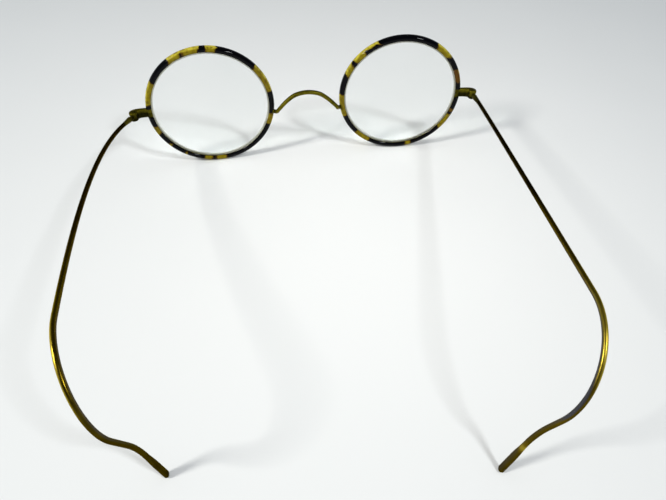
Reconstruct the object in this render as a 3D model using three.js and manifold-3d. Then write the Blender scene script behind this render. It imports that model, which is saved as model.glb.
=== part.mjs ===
// Round eyeglasses: celluloid-covered metal rims, a saddle bridge and hand-bent wire temples.
// Millimetres, +Z up. The glasses stand open on their rims and temple tips, with the front towards +Y.
// Right is +X. Every side piece is shaped for the right and mirrored for the left.
import * as THREE from 'three';
import { mergeVertices } from 'three/addons/utils/BufferGeometryUtils.js';
import Module from 'manifold-3d';

// Front
const rimDiameter = 42.1;
const rimSpacing = 64.3;
const faceForm = 2.8;
const frontLean = 4.3;

// Celluloid cover: a rounded section, open towards the lens
const coverWidth = 2.0;
const coverDepth = 2.6;
const coverWall = 0.45;

// Eyewire: a grooved ring, split at the temple side
const eyewireWidth = 1.2;
const eyewireDepth = 1.3;
const grooveDepth = 0.6;
const closingGap = 0.1;

// Lens
const lensEdge = 1.4;
const lensFrontCurve = 95;
const lensBackCurve = 150;
const bevelDepth = 1.0;
const bevelFlat = 0.3;

// Bridge: heights are above and below the line through the rim centres
const bridgeCrestHeight = 4.0;
const bridgeLegDrop = 2.2;
const bridgeFootDrop = 3.6;
const bridgeFootBack = 0.35;
const bridgeSetback = 1.6;
const bridgeLegInset = 1.8;
const bridgeCrestWidth = 1.6;
const bridgeCrestThickness = 1.35;
const bridgeLegThickness = 1.25;
const bridgeFootHeight = 1.4;

// Endpieces: two lugs that arch back from the rim to the hinge
const endpieceReach = 4.1;
const hingeSetback = 1.5;
const endpieceHeight = 3.0;
const endpieceDepth = 1.4;
const endpieceShoulder = 1.3;
const endpieceRounding = 0.4;
const knuckleRadius = 1.3;

// Hinge: the temple's eye turns on the screw between the lugs, and its heel stops it when open
const tongueThickness = 1.0;
const eyeRadius = 1.2;
const heelRadius = 1.6;
const heelFrom = 74;
const heelTo = 104;
const heelSweep = 100;
const screwRadius = 0.5;
const screwHeadRadius = 0.8;
const screwHeadHeight = 0.5;
const screwHeadSunk = 0.4;
const screwSlotWidth = 0.26;
const screwSlotDepth = 0.28;
const screwProud = 0.12;

// Temple root, brazed to the wire by a tenon
const rootLength = 7;
const rootHeight = 1.7;
const rootThickness = 1.45;
const rootShoulder = 2.4;
const tenonLength = 2.4;
const tenonRadius = 0.38;

// Temple wire and its flat tip
const templeReach = 97.4;
const wireHeight = 1.3;
const wireThickness = 1.25;
const tipWidth = 1.75;
const tipThickness = 0.85;
const tipLength = 11;
const tipTaper = 5;

// How each temple was bent to its wearer: angles in degrees, lengths from the hinge
const temples = {
  right: {
    side: 1, spread: -0.4, easeLength: 4, toeIn: 6.6, earReach: templeReach, earRise: 10.3,
    earBendRadius: 17.5, earBend: 103.5, hookLean: 21, tipBendRadius: 31, tipFlare: 16,
  },
  left: {
    side: -1, spread: 17, easeLength: 23, toeIn: 0.5, earReach: templeReach - 4, earRise: 14.6,
    earBendRadius: 15.9, earBend: 113.5, hookLean: 13.4, tipBendRadius: 23, tipFlare: 19.6,
  },
};

// Clearances
const coverPlay = 0.1;
const lensPlay = 0.1;
const solderGap = 0.06;
const hingePlay = 0.07;
const heelPlay = 0.12;

// Shape of the bridge: shares of the leg's spread, of the arch's height and of the way from foot to leg
const archCrown = { spread: 0.4, fall: 0.13 };
const archShoulder = { spread: 0.7, fall: 0.48 };
const knee = { reach: 0.8, back: 0.35, rise: 0.3 };

// Shape of the sections: 1 is an ellipse, and less is squarer
const coverSquareness = 0.9;
const wireSquareness = 0.9;
const rootSquareness = 0.7;
const tipSquareness = 0.5;

// Fineness of the round forms
const ringSteps = 48;
const sectionSteps = 12;
const boreSteps = 20;
const lensSteps = 6;
const bridgeSteps = 60;
const lugSteps = 6;
const eyeSteps = 10;
const domeSteps = 3;
const shaftSteps = 14;
const earSteps = 12;
const flareSteps = 4;
const tipSteps = 5;

// Sizes that follow from the ones above
const radians = THREE.MathUtils.degToRad;
const rimRadius = rimDiameter / 2;
const coverMiddle = rimRadius - coverWidth / 2;
const eyewireOuter = rimRadius - coverWall - coverPlay;
const eyewireInner = eyewireOuter - eyewireWidth;
const lensRadius = eyewireInner + grooveDepth - lensPlay;
const bevelStart = lensRadius - bevelDepth;
const footRadius = eyewireOuter + solderGap;
const footAngle = Math.asin(bridgeFootDrop / footRadius);
const hingeReach = rimRadius + endpieceReach;
const lugGap = tongueThickness / 2 + hingePlay;
const hingeTop = endpieceHeight / 2;
const headSeat = hingeTop - screwHeadSunk;
const cutReach = rimDiameter;

const wasm = await Module();
wasm.setup();

// A closed geometry as a solid that can be cut and joined
function solidOf(geometry) {
  const bare = geometry.clone();
  bare.deleteAttribute('normal');
  bare.deleteAttribute('uv');
  const merged = mergeVertices(bare);
  const index = merged.index.array;
  const triangles = [];
  for (let i = 0; i < index.length; i += 3) {
    const [a, b, c] = index.slice(i, i + 3);
    if (a !== b && b !== c && c !== a) triangles.push(a, b, c);
  }
  return new wasm.Manifold(new wasm.Mesh({
    numProp: 3,
    vertProperties: Float32Array.from(merged.attributes.position.array),
    triVerts: Uint32Array.from(triangles),
  }));
}

function geometryOf(solid) {
  const mesh = solid.getMesh();
  const geometry = new THREE.BufferGeometry();
  geometry.setAttribute('position', new THREE.BufferAttribute(mesh.vertProperties, 3));
  geometry.setIndex(new THREE.BufferAttribute(mesh.triVerts, 1));
  geometry.computeVertexNormals();
  return geometry;
}

function mirrored(geometry) {
  const copy = geometry.index ? geometry.toNonIndexed() : geometry.clone();
  copy.scale(-1, 1, 1);
  const position = copy.attributes.position;
  const corner = new THREE.Vector3();
  const other = new THREE.Vector3();
  for (let i = 0; i < position.count; i += 3) {
    corner.fromBufferAttribute(position, i + 1);
    other.fromBufferAttribute(position, i + 2);
    position.setXYZ(i + 1, other.x, other.y, other.z);
    position.setXYZ(i + 2, corner.x, corner.y, corner.z);
  }
  copy.computeVertexNormals();
  return copy;
}

const box = (x, y, z) => new THREE.BoxGeometry(x, y, z);
const upright = (radius, height) => new THREE.CylinderGeometry(radius, radius, height, boreSteps)
  .rotateX(Math.PI / 2);
const signedPower = (value, power) => Math.sign(value) * Math.abs(value) ** power;

// A closed skin over a row of rings that all have the same number of points
function loft(rings) {
  const count = rings[0].length;
  const middle = (ring) => ring.reduce((sum, p) => sum.add(p), new THREE.Vector3()).divideScalar(count);
  const points = rings.flat();
  const first = points.push(middle(rings[0])) - 1;
  const last = points.push(middle(rings.at(-1))) - 1;
  const top = (rings.length - 1) * count;
  const index = [];
  for (let i = 0; i < count; i++) {
    const next = (i + 1) % count;
    index.push(first, next, i, last, top + i, top + next);
    for (let row = 0; row < top; row += count) {
      index.push(row + i, row + next, row + count + next);
      index.push(row + i, row + count + next, row + count + i);
    }
  }
  const geometry = new THREE.BufferGeometry().setFromPoints(points);
  geometry.setIndex(index);
  geometry.computeVertexNormals();
  return geometry;
}

// A rounded section square to the path: across is the direction that the section's width is nearest to
function sectionRing(place, tangent, across, width, height, squareness) {
  const wide = across.clone().addScaledVector(tangent, -across.dot(tangent)).normalize();
  const high = tangent.clone().cross(wide);
  return Array.from({ length: sectionSteps }, (_, i) => {
    const angle = 2 * Math.PI * (i + 0.5) / sectionSteps;
    return place.clone()
      .addScaledVector(wide, width / 2 * signedPower(Math.cos(angle), squareness))
      .addScaledVector(high, height / 2 * signedPower(Math.sin(angle), squareness));
  });
}

// Lens: two spherical faces, with a bevelled edge that sits in the groove
function lensGeometry() {
  const sag = (curve, r) => curve - Math.sqrt(curve ** 2 - r ** 2);
  const face = (curve, level) => Array.from({ length: lensSteps + 1 }, (_, i) => {
    const r = bevelStart * i / lensSteps;
    return new THREE.Vector2(r, level + sag(curve, bevelStart) - sag(curve, r));
  });
  return new THREE.LatheGeometry([
    ...face(lensBackCurve, -lensEdge / 2),
    new THREE.Vector2(lensRadius, -bevelFlat / 2),
    new THREE.Vector2(lensRadius, bevelFlat / 2),
    ...face(lensFrontCurve, lensEdge / 2).reverse(),
  ], ringSteps);
}

// Eyewire: a grooved ring whose flanks follow the lens bevel, with a saw cut where the endpiece closes it
function eyewireGeometry() {
  const bevelSlope = (lensEdge - bevelFlat) / 2 / bevelDepth;
  const grooveFloor = bevelFlat / 2 + lensPlay;
  const grooveMouth = grooveFloor + bevelSlope * grooveDepth;
  const half = [
    new THREE.Vector2(eyewireInner + grooveDepth, grooveFloor),
    new THREE.Vector2(eyewireInner, grooveMouth),
    new THREE.Vector2(eyewireInner, eyewireDepth / 2),
    new THREE.Vector2(eyewireOuter, eyewireDepth / 2),
  ];
  const other = half.map((p) => new THREE.Vector2(p.x, -p.y));
  const ring = new THREE.LatheGeometry([...other, ...half.reverse(), other[0]], ringSteps);
  const cut = box(cutReach, cutReach, closingGap).translate(rimRadius, 0, 0);
  return geometryOf(solidOf(ring).subtract(solidOf(cut)));
}

// Rim cover: the celluloid sleeve, open at the endpiece and notched at the back for the bridge's foot
function coverGeometry() {
  const mouth = eyewireDepth / 2 + coverPlay;
  const bed = eyewireOuter + coverPlay;
  const lip = Math.asin((2 * mouth / coverDepth) ** (1 / coverSquareness));
  const skin = Array.from({ length: sectionSteps + 1 }, (_, i) => {
    const angle = (Math.PI - lip) * (2 * i / sectionSteps - 1);
    return new THREE.Vector2(
      coverMiddle + coverWidth / 2 * signedPower(Math.cos(angle), coverSquareness),
      coverDepth / 2 * signedPower(Math.sin(angle), coverSquareness),
    );
  });
  const channel = [new THREE.Vector2(bed, mouth), new THREE.Vector2(bed, -mouth), skin[0]];
  const sleeve = solidOf(new THREE.LatheGeometry([...skin, ...channel], ringSteps));
  const opening = box(cutReach, cutReach, endpieceHeight + 2 * coverPlay).translate(rimRadius, 0, 0);
  const notchHeight = bridgeFootHeight + 2 * coverPlay;
  const notchFront = bridgeLegThickness / 2 - bridgeFootBack + coverPlay;
  const notchDepth = notchFront + coverDepth;
  const notch = box(2 * coverWidth, notchDepth, notchHeight)
    .translate(coverPlay - footRadius - coverWidth, notchFront - notchDepth / 2, 0)
    .rotateY(-footAngle);
  return geometryOf(sleeve.subtract(solidOf(opening)).subtract(solidOf(notch)));
}

// Bridge: a saddle wire whose feet leave the eyewires, turn back and rise into the arch
function bridgeGeometry() {
  const turn = radians(faceForm);
  const footReach = footRadius * Math.cos(footAngle);
  const foot = rimSpacing / 2 - footReach * Math.cos(turn);
  const footFront = footReach * Math.sin(turn) - bridgeFootBack;
  const footLead = coverWall + coverPlay;
  const outward = new THREE.Vector3(-Math.cos(footAngle), 0, -Math.sin(footAngle));
  const inward = new THREE.Vector3(outward.x, 0, -outward.z);
  const legSpread = foot - bridgeLegInset;
  const arch = bridgeCrestHeight + bridgeLegDrop;
  const blend = THREE.MathUtils.lerp;
  const kneeHeight = blend(-bridgeFootDrop, -bridgeLegDrop, knee.rise);
  const rightHalf = [
    [foot, footFront, -bridgeFootDrop],
    [foot + footLead * outward.x, footFront, footLead * outward.z - bridgeFootDrop],
    [foot - knee.reach * bridgeLegInset, -knee.back * bridgeSetback, kneeHeight],
    [legSpread, -bridgeSetback, -bridgeLegDrop],
    [archShoulder.spread * legSpread, -bridgeSetback, bridgeCrestHeight - archShoulder.fall * arch],
    [archCrown.spread * legSpread, -bridgeSetback, bridgeCrestHeight - archCrown.fall * arch],
  ].map(([x, y, z]) => new THREE.Vector3(x, y, z));
  const leftHalf = rightHalf.map((p) => new THREE.Vector3(-p.x, p.y, p.z)).reverse();
  const crest = new THREE.Vector3(0, -bridgeSetback, bridgeCrestHeight);
  const path = new THREE.CatmullRomCurve3([...rightHalf, crest, ...leftHalf]);
  const up = new THREE.Vector3(0, 0, 1);
  const rings = Array.from({ length: bridgeSteps + 1 }, (_, i) => {
    const place = path.getPointAt(i / bridgeSteps);
    const tangent = path.getTangentAt(i / bridgeSteps);
    if (i === 0) tangent.copy(outward);
    if (i === bridgeSteps) tangent.copy(inward);
    const across = tangent.clone().cross(up);
    const rise = THREE.MathUtils.smoothstep(place.z, -bridgeLegDrop, bridgeCrestHeight);
    const pad = THREE.MathUtils.smoothstep(Math.abs(place.x), legSpread, foot);
    const width = blend(bridgeLegThickness, bridgeCrestWidth, rise);
    const height = blend(blend(bridgeLegThickness, bridgeCrestThickness, rise), bridgeFootHeight, pad);
    return sectionRing(place, tangent, across, width, height, wireSquareness);
  });
  return loft(rings);
}

// Both endpiece halves as one block: an arm that leaves the eyewire and arches back round the knuckle
function endpieceBlock() {
  const foot = eyewireOuter + solderGap;
  const front = endpieceDepth / 2;
  const hinge = new THREE.Vector2(hingeReach, -hingeSetback);
  const arm = new THREE.Shape();
  arm.moveTo(foot, -front);
  arm.lineTo(foot + endpieceShoulder / 2, -front);
  arm.quadraticCurveTo(hinge.x - knuckleRadius, -front, hinge.x - knuckleRadius, hinge.y);
  arm.absarc(hinge.x, hinge.y, knuckleRadius, Math.PI, 2 * Math.PI, false);
  arm.quadraticCurveTo(hinge.x + knuckleRadius, front, foot + 1.5 * endpieceShoulder, front);
  arm.lineTo(foot, front);
  arm.closePath();
  const block = new THREE.ExtrudeGeometry(arm, {
    depth: endpieceHeight - 2 * endpieceRounding,
    curveSegments: lugSteps,
    bevelThickness: endpieceRounding,
    bevelSize: endpieceRounding,
    bevelOffset: -endpieceRounding,
    bevelSegments: 2,
  });
  return solidOf(block.translate(0, 0, endpieceRounding - hingeTop));
}

// The slot for the temple's tongue, with room for the heel to swing as the temple folds
function tongueSlot() {
  const from = radians(heelFrom - heelSweep);
  const to = radians(heelTo) + heelPlay / heelRadius;
  const room = new THREE.Shape();
  room.absarc(0, 0, heelRadius + heelPlay, from, to, false);
  room.absarc(0, 0, knuckleRadius + heelPlay, to, from + 2 * Math.PI, false);
  room.closePath();
  const slot = new THREE.ExtrudeGeometry(room, {
    depth: 2 * lugGap, curveSegments: eyeSteps, bevelEnabled: false,
  });
  return solidOf(slot.translate(hingeReach, -hingeSetback, -lugGap));
}

function endpieceGeometry(level) {
  const keep = box(cutReach, cutReach, cutReach);
  keep.translate(hingeReach, 0, level * (cutReach + closingGap) / 2);
  const bore = upright(screwRadius + hingePlay, cutReach).translate(hingeReach, -hingeSetback, 0);
  const seat = upright(screwHeadRadius + hingePlay, cutReach)
    .translate(hingeReach, -hingeSetback, headSeat + cutReach / 2);
  const half = endpieceBlock().intersect(solidOf(keep));
  return geometryOf(half.subtract(tongueSlot()).subtract(solidOf(bore)).subtract(solidOf(seat)));
}

// Hinge screw: a domed, slotted head sunk in the upper lug, and a shank through both lugs
function screwGeometry() {
  const headBase = headSeat + hingePlay;
  const crown = headBase + screwHeadHeight;
  const dome = Array.from({ length: domeSteps + 1 }, (_, i) => {
    const angle = Math.PI / 2 * i / domeSteps;
    const height = screwHeadHeight / 2 * (1 + Math.sin(angle));
    return new THREE.Vector2(screwHeadRadius * Math.cos(angle), headBase + height);
  });
  const turned = new THREE.LatheGeometry([
    new THREE.Vector2(0, -hingeTop - screwProud),
    new THREE.Vector2(screwRadius, -hingeTop - screwProud),
    new THREE.Vector2(screwRadius, headBase),
    new THREE.Vector2(screwHeadRadius, headBase),
    ...dome,
  ], boreSteps).rotateX(Math.PI / 2);
  const slot = box(cutReach, screwSlotWidth, 2 * screwSlotDepth).translate(0, 0, crown);
  const solid = solidOf(turned).subtract(solidOf(slot));
  return geometryOf(solid).translate(hingeReach, -hingeSetback, 0);
}

// The temple's middle line, shaped for the right, from the hinge to the tip
function templeCurve(bends, drop) {
  const slope = bends.earRise / bends.earReach;
  const out = radians(bends.spread);
  const leave = new THREE.Vector3(Math.sin(out), -Math.cos(out), slope).normalize();
  const rootEnd = leave.clone().multiplyScalar(rootLength);
  const ease = rootEnd.clone().addScaledVector(leave, bends.easeLength);
  const ear = new THREE.Vector3(-bends.toeIn, -bends.earReach, bends.earRise);
  const run = ear.clone().sub(ease).normalize();
  const lean = radians(bends.hookLean);
  const down = new THREE.Vector3(-Math.sin(lean), 0, -Math.cos(lean));
  down.addScaledVector(run, -down.dot(run)).normalize();

  const bend = (start, ahead, inward, radius, angle) => ({
    at: (a) => start.clone()
      .addScaledVector(ahead, radius * Math.sin(a))
      .addScaledVector(inward, radius * (1 - Math.cos(a))),
    along: (a) => ahead.clone().multiplyScalar(Math.cos(a)).addScaledVector(inward, Math.sin(a)),
    backward: ahead.clone().multiplyScalar(Math.sin(angle)).addScaledVector(inward, -Math.cos(angle)),
    angle,
  });
  const earBend = bend(ear, run, down, bends.earBendRadius, radians(bends.earBend));
  const hook = earBend.along(earBend.angle);
  const flareStart = earBend.at(earBend.angle).addScaledVector(hook, drop);
  const flare = bend(flareStart, hook, earBend.backward, bends.tipBendRadius, radians(bends.tipFlare));
  const padStart = flare.at(flare.angle);
  const tip = flare.along(flare.angle);
  return { leave, rootEnd, ease, ear, earBend, hook, flareStart, flare, padStart, tip };
}

// Temple wire: a tenon in the root, the shaft, the ear bend, the hook and the flat rounded tip
function templeGeometry(bends, drop) {
  const curve = templeCurve(bends, drop);
  const across = new THREE.Vector3(1, 0, 0);
  const rings = [];
  const add = (place, tangent, thickness, height, squareness) => {
    rings.push(sectionRing(place, tangent, across, thickness, height, squareness));
  };
  const wire = (place, tangent) => add(place, tangent, wireThickness, wireHeight, wireSquareness);

  const tenonStart = curve.rootEnd.clone().addScaledVector(curve.leave, -tenonLength);
  const shaftStart = curve.rootEnd.clone().addScaledVector(curve.leave, solderGap);
  add(tenonStart, curve.leave, 2 * tenonRadius, 2 * tenonRadius, 1);
  add(shaftStart, curve.leave, 2 * tenonRadius, 2 * tenonRadius, 1);
  wire(shaftStart, curve.leave);

  const shaft = new THREE.QuadraticBezierCurve3(shaftStart, curve.ease, curve.ear);
  for (let i = 1; i <= shaftSteps; i++) wire(shaft.getPoint(i / shaftSteps), shaft.getTangent(i / shaftSteps));

  const round = (arc, steps) => {
    for (let i = 1; i <= steps; i++) {
      const a = arc.angle * i / steps;
      wire(arc.at(a), arc.along(a));
    }
  };
  round(curve.earBend, earSteps);
  wire(curve.flareStart, curve.hook);
  round(curve.flare, flareSteps);

  const blend = THREE.MathUtils.lerp;
  const along = (s) => curve.padStart.clone().addScaledVector(curve.tip, s);
  for (let i = 1; i <= tipSteps; i++) {
    const share = i / tipSteps;
    const eased = THREE.MathUtils.smoothstep(share, 0, 1);
    add(along(tipTaper * share), curve.tip, blend(wireThickness, tipThickness, eased),
      blend(wireHeight, tipWidth, eased), blend(wireSquareness, tipSquareness, eased));
  }
  const endStart = tipLength - tipWidth / 2;
  for (let i = 0; i < tipSteps; i++) {
    const a = Math.PI / 2 * i / tipSteps;
    const shrink = Math.cos(a);
    add(along(endStart + tipWidth / 2 * Math.sin(a)), curve.tip,
      tipThickness * (1 + shrink) / 2, tipWidth * shrink, tipSquareness);
  }
  return loft(rings);
}

// Temple root: the hinge eye with its heel, a neck between the lugs and a taper to the wire
function rootGeometry(bends) {
  const { leave, rootEnd } = templeCurve(bends, 0);
  const outline = new THREE.Shape();
  outline.absarc(0, 0, heelRadius, radians(heelFrom), radians(heelTo), false);
  outline.absarc(0, 0, eyeRadius, radians(heelTo), radians(heelFrom) + 2 * Math.PI, false);
  outline.closePath();
  const eye = new THREE.ExtrudeGeometry(outline, {
    depth: tongueThickness, curveSegments: eyeSteps, bevelEnabled: false,
  }).translate(0, 0, -tongueThickness / 2);

  const across = new THREE.Vector3(1, 0, 0);
  const flat = leave.clone().setZ(0).normalize();
  const neckStart = (screwRadius + eyeRadius) / 2;
  const neckEnd = rootShoulder - (rootHeight - tongueThickness) / 2;
  const neckHeight = tongueThickness - hingePlay;
  const shoulder = leave.clone().multiplyScalar(rootShoulder);
  const belly = leave.clone().multiplyScalar((rootShoulder + rootLength) / 2);
  const bellyHeight = (rootHeight + wireHeight) / 2;
  const bellyThickness = (rootThickness + wireThickness) / 2;
  const bellySquareness = (rootSquareness + wireSquareness) / 2;
  const body = loft([
    sectionRing(flat.clone().multiplyScalar(neckStart), flat, across, eyeRadius, neckHeight, rootSquareness),
    sectionRing(flat.clone().multiplyScalar(neckEnd), flat, across, wireThickness, neckHeight, rootSquareness),
    sectionRing(shoulder, flat, across, rootThickness, rootHeight, rootSquareness),
    sectionRing(belly, leave, across, bellyThickness, bellyHeight, bellySquareness),
    sectionRing(rootEnd, leave, across, wireThickness, wireHeight, wireSquareness),
  ]);
  const socketStart = rootEnd.clone().addScaledVector(leave, -tenonLength - solderGap);
  const socketEnd = rootEnd.clone().addScaledVector(leave, tenonLength);
  const socketWidth = 2 * (tenonRadius + solderGap);
  const socket = loft([
    sectionRing(socketStart, leave, across, socketWidth, socketWidth, 1),
    sectionRing(socketEnd, leave, across, socketWidth, socketWidth, 1),
  ]);
  const bore = upright(screwRadius + hingePlay, cutReach);
  return geometryOf(solidOf(eye).add(solidOf(body)).subtract(solidOf(bore)).subtract(solidOf(socket)));
}

// Finishes
const tortoiseshell = new THREE.MeshStandardMaterial({ color: 0x4a3a08, roughness: 0.18, metalness: 0 });
const agedGold = new THREE.MeshStandardMaterial({ color: 0x8f7a34, roughness: 0.32, metalness: 1 });
const clearGlass = new THREE.MeshStandardMaterial({
  color: 0xf4f8f6, roughness: 0.03, metalness: 0, transparent: true, opacity: 0.2,
});

const piece = (name, geometry, material) => {
  const mesh = new THREE.Mesh(geometry, material);
  mesh.name = name;
  return mesh;
};

// Standing: up and down are along the line that the lean turns to the vertical
const lean = radians(frontLean);
const turn = radians(faceForm);
const standingUp = new THREE.Vector3(0, -Math.sin(lean), Math.cos(lean));
function lowest(geometry, offset) {
  const position = geometry.attributes.position;
  const point = new THREE.Vector3();
  let low = Infinity;
  for (let i = 0; i < position.count; i++) {
    low = Math.min(low, point.fromBufferAttribute(position, i).add(offset).dot(standingUp));
  }
  return low;
}

const cover = coverGeometry();
const rimPlace = new THREE.Vector3(rimSpacing / 2, 0, 0);
const floorLevel = lowest(cover.clone().rotateZ(-turn), rimPlace);
const hingePlace = new THREE.Vector3(hingeReach, -hingeSetback, 0)
  .applyAxisAngle(new THREE.Vector3(0, 0, 1), -turn).add(rimPlace);

const glasses = new THREE.Group();
glasses.add(piece('bridge', bridgeGeometry(), agedGold));

for (const [name, bends] of Object.entries(temples)) {
  const shaped = (geometry) => (bends.side > 0 ? geometry : mirrored(geometry));
  const rim = new THREE.Group();
  rim.position.set(bends.side * rimPlace.x, 0, 0);
  rim.rotation.z = -bends.side * turn;
  rim.add(piece(`lens_${name}`, shaped(lensGeometry()), clearGlass));
  rim.add(piece(`eyewire_${name}`, shaped(eyewireGeometry()), agedGold));
  rim.add(piece(`rim_cover_${name}`, shaped(cover), tortoiseshell));
  rim.add(piece(`endpiece_upper_${name}`, shaped(endpieceGeometry(1)), agedGold));
  rim.add(piece(`endpiece_lower_${name}`, shaped(endpieceGeometry(-1)), agedGold));
  rim.add(piece(`hinge_screw_${name}`, shaped(screwGeometry()), agedGold));
  glasses.add(rim);

  // The hook runs down until its tip stands on the same level as the rims
  const height = lowest(templeGeometry(bends, 0), hingePlace) - floorLevel;
  const drop = -height / templeCurve(bends, 0).hook.dot(standingUp);
  const hinge = new THREE.Group();
  hinge.position.set(bends.side * hingePlace.x, hingePlace.y, hingePlace.z);
  hinge.add(piece(`temple_butt_${name}`, shaped(rootGeometry(bends)), agedGold));
  hinge.add(piece(`temple_${name}`, shaped(templeGeometry(bends, drop)), agedGold));
  glasses.add(hinge);
}

// The origin is under the middle of the glasses, on the surface that they stand on
glasses.rotation.x = -lean;
glasses.position.z = -floorLevel;
const assembly = new THREE.Group();
assembly.add(glasses);
assembly.updateMatrixWorld(true);
const reach = new THREE.Box3().setFromObject(assembly, true).getCenter(new THREE.Vector3());
glasses.position.x -= reach.x;
glasses.position.y -= reach.y;

export default assembly;
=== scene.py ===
import math

import bmesh
import bpy
from mathutils import Matrix, Vector


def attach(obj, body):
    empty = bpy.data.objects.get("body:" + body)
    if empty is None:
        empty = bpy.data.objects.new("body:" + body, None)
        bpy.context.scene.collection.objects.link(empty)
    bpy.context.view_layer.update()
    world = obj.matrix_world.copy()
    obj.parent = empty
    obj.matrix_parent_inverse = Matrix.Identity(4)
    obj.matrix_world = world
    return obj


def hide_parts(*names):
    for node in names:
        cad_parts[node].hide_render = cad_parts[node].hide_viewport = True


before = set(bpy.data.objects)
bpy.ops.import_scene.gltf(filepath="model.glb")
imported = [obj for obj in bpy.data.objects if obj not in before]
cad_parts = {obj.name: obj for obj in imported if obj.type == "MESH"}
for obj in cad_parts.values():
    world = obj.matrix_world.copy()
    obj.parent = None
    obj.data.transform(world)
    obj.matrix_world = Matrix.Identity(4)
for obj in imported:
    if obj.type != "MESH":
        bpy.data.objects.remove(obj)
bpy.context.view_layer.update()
print("frame loaded:", len(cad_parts), "nodes")

# Where things stand: millimetres and degrees, in the frame of the front, which leans on its rims
front = {"rimSpacing": 64.3, "faceForm": 2.8, "lean": 4.3, "shift": (2.063, 59.2298, 20.9907)}
hinge = {"reach": 25.15, "setback": 1.5, "screwRadius": 0.5, "play": 0.07, "boreReach": 5}
sides = {"right": 1, "left": -1}

standing = (
    Matrix.Scale(0.001, 4)
    @ Matrix.Translation(front["shift"])
    @ Matrix.Rotation(-math.radians(front["lean"]), 4, "X")
)
faceTurn = Matrix.Rotation(-math.radians(front["faceForm"]), 4, "Z")
rimMiddle = Vector((front["rimSpacing"] / 2, 0, 0))
screwSpot = Vector((hinge["reach"], -hinge["setback"], 0))  # from the middle of the rim
hingeSpot = rimMiddle + faceTurn @ screwSpot


def handed(side):  # pieces are shaped for the right and mirrored for the left
    return Matrix.Diagonal((side, 1, 1, 1))


def rimPlace(side):
    return standing @ handed(side) @ Matrix.Translation(rimMiddle) @ faceTurn


def templePlace(side):
    return standing @ handed(side) @ Matrix.Translation(hingeSpot)


# Shaping helpers
def roughPiece(name, points, faces):
    mesh = bpy.data.meshes.new(name)
    mesh.from_pydata(points, [], faces)
    work = bmesh.new()
    work.from_mesh(mesh)
    bmesh.ops.recalc_face_normals(work, faces=work.faces)
    work.to_mesh(mesh)
    work.free()
    piece = bpy.data.objects.new(name, mesh)
    bpy.context.scene.collection.objects.link(piece)
    return piece


def skinned(rows):  # a closed skin over rows of points, with flat ends
    count = len(rows[0])
    points = [point for row in rows for point in row]
    faces = [tuple(reversed(range(count))), tuple(range(len(points) - count, len(points)))]
    for start in range(0, len(points) - count, count):
        for i in range(count):
            j = (i + 1) % count
            faces.append((start + i, start + j, start + count + j, start + count + i))
    return points, faces


def turned(profile, steps, axis):  # a lathe shape: profile of (radius, level) from axis to axis
    points, faces, rows = [], [], []
    for radius, level in profile:
        row = []
        for i in range(steps if radius else 1):
            a = math.tau * i / steps
            x, y = radius * math.cos(a), radius * math.sin(a)
            points.append((x, y, level) if axis == "Z" else (x, level, y))
            row.append(len(points) - 1)
        rows.append(row)
    for low, high in zip(rows, rows[1:]):
        for i in range(steps):
            j = (i + 1) % steps
            corners = [low[i % len(low)], low[j % len(low)], high[j % len(high)], high[i % len(high)]]
            faces.append(tuple(dict.fromkeys(corners)))
    return points, faces


def bulge(value, squareness):  # a cosine or sine, squared off: 1 keeps it round
    return math.copysign(abs(value) ** squareness, value)


def sectionRing(spot, tangent, across, width, height, squareness, steps):
    wide = (across - across.dot(tangent) * tangent).normalized()
    high = tangent.cross(wide)
    ring = []
    for i in range(steps):
        a = math.tau * i / steps
        ring.append(
            spot
            + wide * (width / 2 * bulge(math.cos(a), squareness))
            + high * (height / 2 * bulge(math.sin(a), squareness))
        )
    return ring


def insetOutline(outline, amount):  # moves a closed outline inwards along its own normals
    moved = []
    area = sum(p[0] * q[1] - q[0] * p[1] for p, q in zip(outline, outline[1:] + outline[:1]))
    for i, point in enumerate(outline):
        before, after = outline[i - 1], outline[(i + 1) % len(outline)]
        dx, dy = after[0] - before[0], after[1] - before[1]
        reach = math.hypot(dx, dy) or 1
        turn = amount * math.copysign(1, area) / reach
        moved.append((point[0] - dy * turn, point[1] + dx * turn))
    return moved


def easeShare(value, low, high):
    share = min(1, max(0, (value - low) / (high - low)))
    return share * share * (3 - 2 * share)


def blend(a, b, share):
    return a + (b - a) * share


def carve(piece, tool, operation="DIFFERENCE"):
    cut = piece.modifiers.new("carve", "BOOLEAN")
    cut.operation = operation
    cut.solver = "EXACT"
    cut.object = tool
    bpy.context.view_layer.update()
    graph = bpy.context.evaluated_depsgraph_get()
    piece.data = bpy.data.meshes.new_from_object(piece.evaluated_get(graph))
    piece.modifiers.clear()
    bpy.data.objects.remove(tool)


def block(name, low, high):
    x0, y0, z0 = low
    x1, y1, z1 = high
    return roughPiece(name, *skinned([
        [(x0, y0, z0), (x1, y0, z0), (x1, y1, z0), (x0, y1, z0)],
        [(x0, y0, z1), (x1, y0, z1), (x1, y1, z1), (x0, y1, z1)],
    ]))


def pin(name, radius, reach, steps=40):
    spokes = [math.tau * i / steps for i in range(steps)]
    return roughPiece(name, *skinned([
        [(radius * math.cos(a), radius * math.sin(a), level) for a in spokes] for level in (-reach, reach)
    ]))


def settle(piece, place, node, finish, body="front", crease=32):
    piece.data.transform(place)
    if place.determinant() < 0:
        piece.data.flip_normals()
    piece.data.shade_smooth()
    piece.data.set_sharp_from_angle(angle=math.radians(crease))
    piece.data.materials.clear()
    piece.data.materials.append(finish)
    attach(piece, body)
    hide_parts(node)


# Node helpers
def put(tree, kind, inputs=None, **options):
    node = tree.nodes.new("ShaderNode" + kind)
    for option, value in options.items():
        setattr(node, option, value)
    for socket, value in (inputs or {}).items():
        if isinstance(value, bpy.types.NodeSocket):
            tree.links.new(value, node.inputs[socket])
        else:
            node.inputs[socket].default_value = value
    return node


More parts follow.
